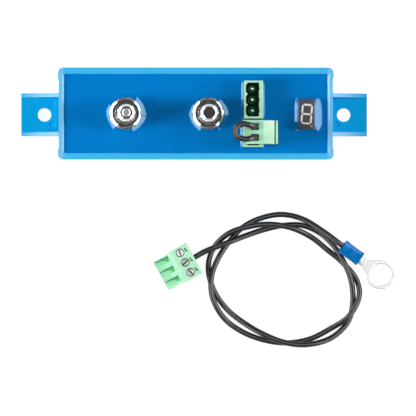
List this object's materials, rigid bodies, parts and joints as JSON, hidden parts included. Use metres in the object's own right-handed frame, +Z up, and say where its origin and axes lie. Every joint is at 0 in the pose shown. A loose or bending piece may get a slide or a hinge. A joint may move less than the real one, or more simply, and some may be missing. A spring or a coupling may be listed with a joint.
{
  "type": "battery disconnect module",
  "caption": "Blue potted battery protection module with ears, threaded power studs, green pluggable terminals, a status digit and a loose cable ending in a ring terminal.",
  "frame": {"origin": "middle of the module's flat underside, not counting the loose lead", "axes": "+X along the module from the input stud towards the display, +Y across it towards the open control socket, +Z up out of the studs"},
  "size_m": [0.1729, 0.1285, 0.0587],
  "materials": {
    "case_blue": "moulded blue plastic, satin",
    "resin_blue": "cast potting compound, glossy",
    "aluminium": "milled",
    "black_package": "moulded epoxy",
    "board_green": "solder mask",
    "copper": "bare copper",
    "shunt_alloy": "resistance alloy strip",
    "capacitor_can": "sleeved can",
    "tinned_pin": "tin plated",
    "stud_steel": "zinc plated thread",
    "washer_steel": "zinc plated",
    "nut_steel": "zinc plated",
    "connector_green": "moulded, pale green",
    "plug_green": "moulded, pale green",
    "display_grey": "dark grey face",
    "segment_white": "diffusing white",
    "contact_metal": "tin plated bronze",
    "screw_metal": "zinc plated",
    "clamp_metal": "zinc plated",
    "cable_black": "soft black insulation",
    "sleeve_blue": "translucent blue nylon sleeve",
    "tinned_copper": "bright tin plate"
  },
  "bodies": {
    "module": {"case": "case_blue", "potting_resin": "resin_blue", "heat_spreader": "aluminium", "power_mosfets": "black_package", "power_board": "board_green", "input_busbar": "copper", "output_busbar": "copper", "shunt_strip": "shunt_alloy", "gate_driver": "black_package", "capacitors": "capacitor_can", "resistors": "black_package", "board_link_pins": "tinned_pin", "logic_board": "board_green", "microcontroller": "black_package", "input_stud": "stud_steel", "output_stud": "stud_steel", "header_3pole": "connector_green", "header_3pole_pins": "tinned_pin", "header_2pole": "connector_green", "header_2pole_pins": "tinned_pin", "display_body": "display_grey", "display_segments": "segment_white", "display_pins": "tinned_pin"},
    "input_washer_body": {"input_washer": "washer_steel"},
    "input_nut_body": {"input_nut": "nut_steel"},
    "output_washer_body": {"output_washer": "washer_steel"},
    "output_nut_body": {"output_nut": "nut_steel"},
    "link_plug_body": {"jumper_plug": "plug_green", "jumper_contacts": "contact_metal", "jumper_wire": "cable_black", "jumper_wire_cores": "copper"},
    "link_screw_a_body": {"jumper_screw_a": "screw_metal"},
    "link_clamp_a_body": {"jumper_clamp_a": "clamp_metal"},
    "link_screw_b_body": {"jumper_screw_b": "screw_metal"},
    "link_clamp_b_body": {"jumper_clamp_b": "clamp_metal"},
    "lead_body": {"lead_plug": "plug_green", "lead_contacts": "contact_metal", "lead_cable": "cable_black", "lead_wire_cores": "copper", "crimp_sleeve": "sleeve_blue", "ring_terminal": "tinned_copper"},
    "lead_screw_a_body": {"lead_screw_a": "screw_metal"},
    "lead_clamp_a_body": {"lead_clamp_a": "clamp_metal"},
    "lead_screw_b_body": {"lead_screw_b": "screw_metal"},
    "lead_clamp_b_body": {"lead_clamp_b": "clamp_metal"},
    "lead_screw_c_body": {"lead_screw_c": "screw_metal"},
    "lead_clamp_c_body": {"lead_clamp_c": "clamp_metal"}
  },
  "joints": [
    {"name": "input_washer_lift", "type": "slide", "parent": "module", "child": "input_washer_body", "axis": [0, 0, 1], "range_m": [0, 0.00876]},
    {"name": "input_nut_turn", "type": "hinge", "parent": "input_washer_body", "child": "input_nut_body", "pos_m": [-0.0326, 0, 0.0407], "axis": [0, 0, 1], "range_deg": [0, 2520]},
    {"name": "output_washer_lift", "type": "slide", "parent": "module", "child": "output_washer_body", "axis": [0, 0, 1], "range_m": [0, 0.00876]},
    {"name": "output_nut_turn", "type": "hinge", "parent": "output_washer_body", "child": "output_nut_body", "pos_m": [0.0057, 0, 0.0407], "axis": [0, 0, 1], "range_deg": [0, 2520]},
    {"name": "link_plug_pull", "type": "slide", "parent": "module", "child": "link_plug_body", "axis": [0, 0, 1], "range_m": [0, 0.012]},
    {"name": "link_screw_a_turn", "type": "hinge", "parent": "link_plug_body", "child": "link_screw_a_body", "pos_m": [0.0355, -0.00636, 0.0479], "axis": [1, 0, 0], "range_deg": [0, 721]},
    {"name": "link_clamp_a_slide", "type": "slide", "parent": "link_plug_body", "child": "link_clamp_a_body", "axis": [-1, 0, 0], "range_m": [0, 0.001]},
    {"name": "link_screw_b_turn", "type": "hinge", "parent": "link_plug_body", "child": "link_screw_b_body", "pos_m": [0.0355, -0.01144, 0.0479], "axis": [1, 0, 0], "range_deg": [0, 721]},
    {"name": "link_clamp_b_slide", "type": "slide", "parent": "link_plug_body", "child": "link_clamp_b_body", "axis": [-1, 0, 0], "range_m": [0, 0.001]},
    {"name": "lead_lift", "type": "slide", "parent": "module", "child": "lead_body", "axis": [0, 0, 1], "range_m": [0, 0.05]},
    {"name": "lead_screw_a_turn", "type": "hinge", "parent": "lead_body", "child": "lead_screw_a_body", "pos_m": [-0.00678, -0.06395, 0.0136], "axis": [0, 0, 1], "range_deg": [0, 721]},
    {"name": "lead_clamp_a_slide", "type": "slide", "parent": "lead_body", "child": "lead_clamp_a_body", "axis": [0, 0, -1], "range_m": [0, 0.001]},
    {"name": "lead_screw_b_turn", "type": "hinge", "parent": "lead_body", "child": "lead_screw_b_body", "pos_m": [-0.00432, -0.06839, 0.0136], "axis": [0, 0, 1], "range_deg": [0, 721]},
    {"name": "lead_clamp_b_slide", "type": "slide", "parent": "lead_body", "child": "lead_clamp_b_body", "axis": [0, 0, -1], "range_m": [0, 0.001]},
    {"name": "lead_screw_c_turn", "type": "hinge", "parent": "lead_body", "child": "lead_screw_c_body", "pos_m": [-0.00185, -0.07283, 0.0136], "axis": [0, 0, 1], "range_deg": [0, 721]},
    {"name": "lead_clamp_c_slide", "type": "slide", "parent": "lead_body", "child": "lead_clamp_c_body", "axis": [0, 0, -1], "range_m": [0, 0.001]}
  ],
  "couplings": [
    {"joint": "input_washer_lift", "follows": "input_nut_turn", "m_per_rad": 0.00019894},
    {"joint": "output_washer_lift", "follows": "output_nut_turn", "m_per_rad": 0.00019894},
    {"joint": "link_screw_a_turn", "follows": "link_clamp_a_slide", "rad_per_m": 12566},
    {"joint": "link_screw_b_turn", "follows": "link_clamp_b_slide", "rad_per_m": 12566},
    {"joint": "lead_screw_a_turn", "follows": "lead_clamp_a_slide", "rad_per_m": 12566},
    {"joint": "lead_screw_b_turn", "follows": "lead_clamp_b_slide", "rad_per_m": 12566},
    {"joint": "lead_screw_c_turn", "follows": "lead_clamp_c_slide", "rad_per_m": 12566}
  ]
}
